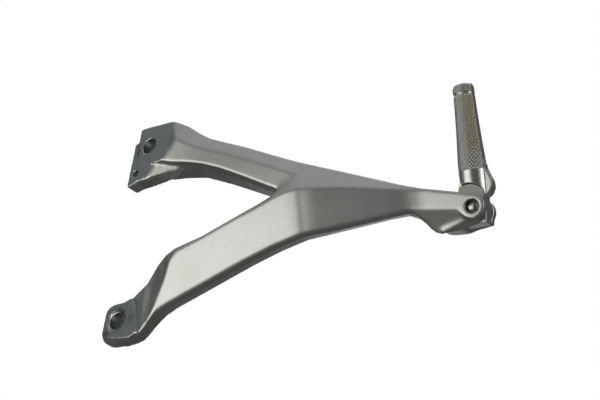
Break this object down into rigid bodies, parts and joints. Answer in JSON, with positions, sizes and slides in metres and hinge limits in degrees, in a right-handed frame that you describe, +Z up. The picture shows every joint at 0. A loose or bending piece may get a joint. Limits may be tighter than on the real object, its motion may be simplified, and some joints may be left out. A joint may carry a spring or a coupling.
{
  "type": "motorcycle footrest bracket",
  "caption": "Cast aluminium Y-shaped passenger footrest bracket with two mounting lugs and a clevis holding a folding knurled peg on a domed pin.",
  "frame": {"origin": "centre of the upper mounting hole, on the machined face the viewer sees", "axes": "+X along the arms from the mounting lugs to the footpeg, +Y away from the viewer along the footpeg's pin, +Z up, along the unfolded footpeg"},
  "size_m": [0.2984, 0.0565, 0.1625],
  "materials": {
    "cast_aluminium": "satin, blasted casting with machined lugs",
    "peg_aluminium": "satin with a diamond knurl",
    "pin_steel": "turned, semi-gloss",
    "spring_steel": "dark, semi-matt",
    "plated_steel": "zinc plated, semi-matt"
  },
  "bodies": {
    "bracket": {"bracket": "cast_aluminium", "pivot_pin": "pin_steel", "wave_washer": "spring_steel", "flat_washer": "plated_steel", "split_pin": "plated_steel"},
    "footpeg": {"footpeg": "peg_aluminium"}
  },
  "joints": [
    {"name": "peg_fold", "type": "hinge", "parent": "bracket", "child": "footpeg", "pos_m": [0.238, 0.0015, -0.0865], "axis": [0, -1, 0], "range_deg": [0, 45]}
  ]
}
